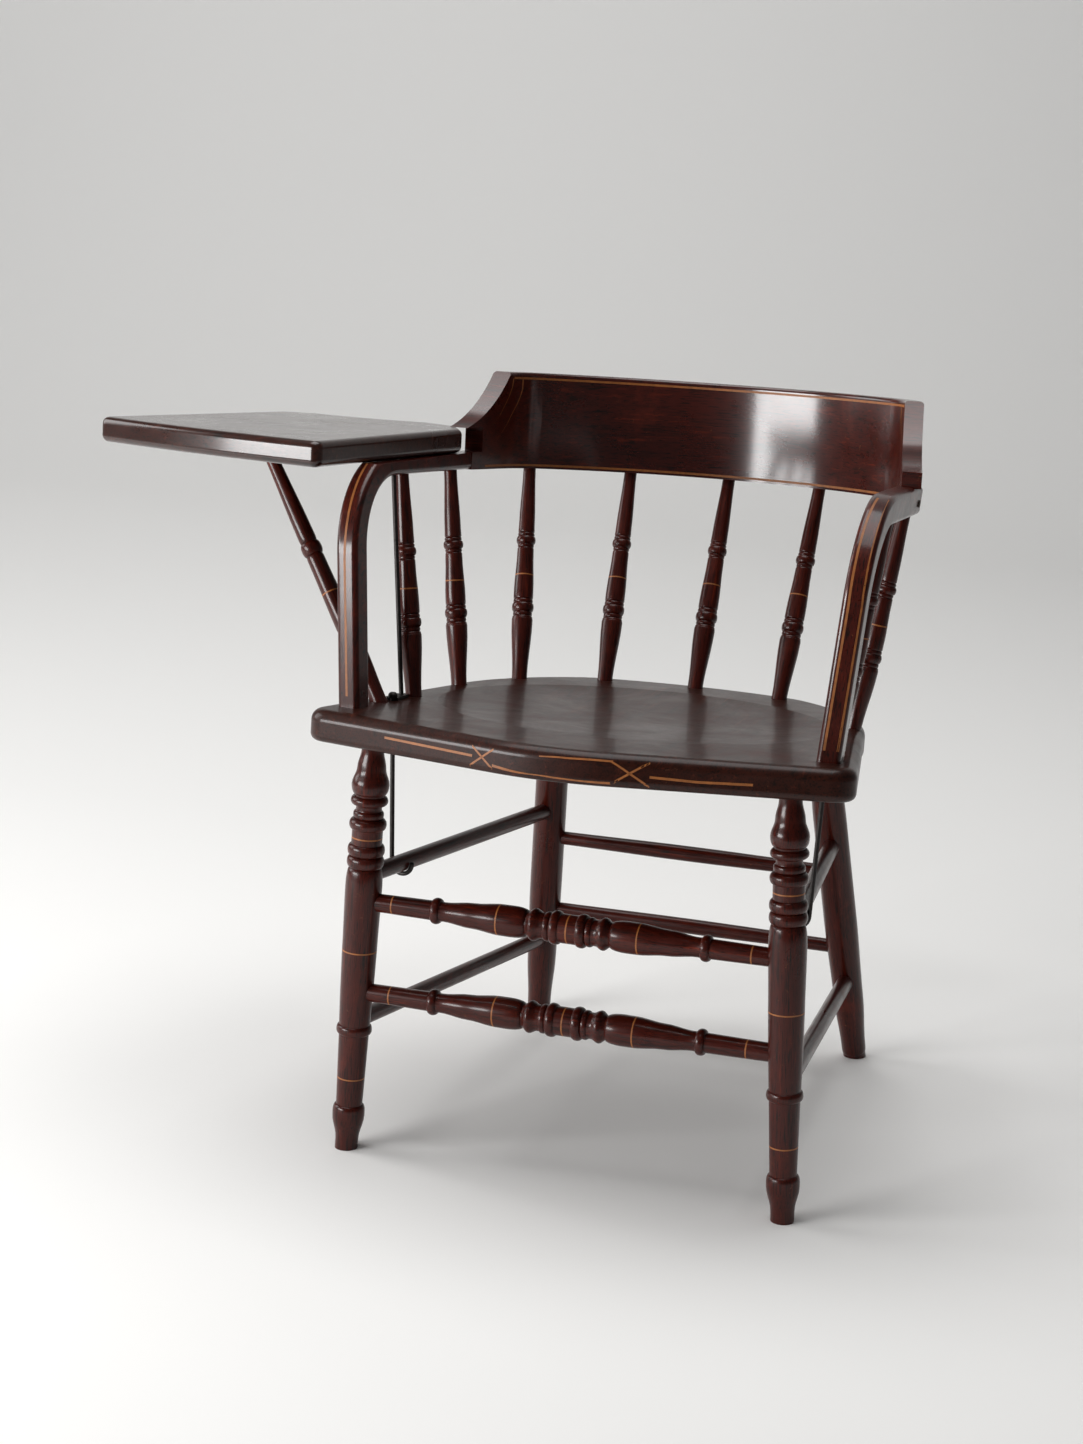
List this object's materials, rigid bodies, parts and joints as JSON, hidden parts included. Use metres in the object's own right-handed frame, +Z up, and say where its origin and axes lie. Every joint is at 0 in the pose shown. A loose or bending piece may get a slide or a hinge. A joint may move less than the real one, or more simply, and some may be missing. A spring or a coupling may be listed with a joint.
{
  "type": "writing arm windsor chair",
  "caption": "Turned wooden windsor chair with a saddled plank seat, bent bow arms, curved crest rail, spindle back and a broad writing tablet fixed on one arm, stayed by iron rods",
  "frame": {"origin": "centre of the bounding box on the floor, under the feet", "axes": "+Z up; the chair faces -Y, so +Y runs to the back; the writing tablet is on the -X side"},
  "size_m": [0.804, 0.599, 0.7307],
  "materials": {
    "seat_plank": "dark mahogany stain under worn gloss varnish",
    "turned_wood": "dark mahogany stain under gloss varnish, ochre ring stripes",
    "bent_wood": "dark mahogany stain under gloss varnish, ochre line striping",
    "tablet_board": "dark mahogany stain under worn gloss varnish",
    "black_iron": "forged, blackened and worn"
  },
  "bodies": {
    "root": {"seat": "seat_plank", "front_leg_left": "turned_wood", "front_leg_right": "turned_wood", "rear_leg_left": "turned_wood", "rear_leg_right": "turned_wood", "front_stretcher_upper": "turned_wood", "front_stretcher_lower": "turned_wood", "side_stretcher_upper_left": "turned_wood", "side_stretcher_upper_right": "turned_wood", "side_stretcher_lower_left": "turned_wood", "side_stretcher_lower_right": "turned_wood", "rear_stretcher_upper": "turned_wood", "rear_stretcher_lower": "turned_wood", "spindle_1": "turned_wood", "spindle_2": "turned_wood", "spindle_3": "turned_wood", "spindle_4": "turned_wood", "spindle_5": "turned_wood", "spindle_6": "turned_wood", "spindle_7": "turned_wood", "spindle_8": "turned_wood", "spindle_9": "turned_wood", "tablet_brace": "turned_wood", "arm_left": "bent_wood", "arm_right": "bent_wood", "crest_rail": "bent_wood", "writing_tablet": "tablet_board", "arm_rod_left": "black_iron", "arm_rod_right": "black_iron", "hook_rod_left": "black_iron", "hook_rod_right": "black_iron", "rod_nut_left": "black_iron", "rod_nut_right": "black_iron"}
  },
  "joints": []
}
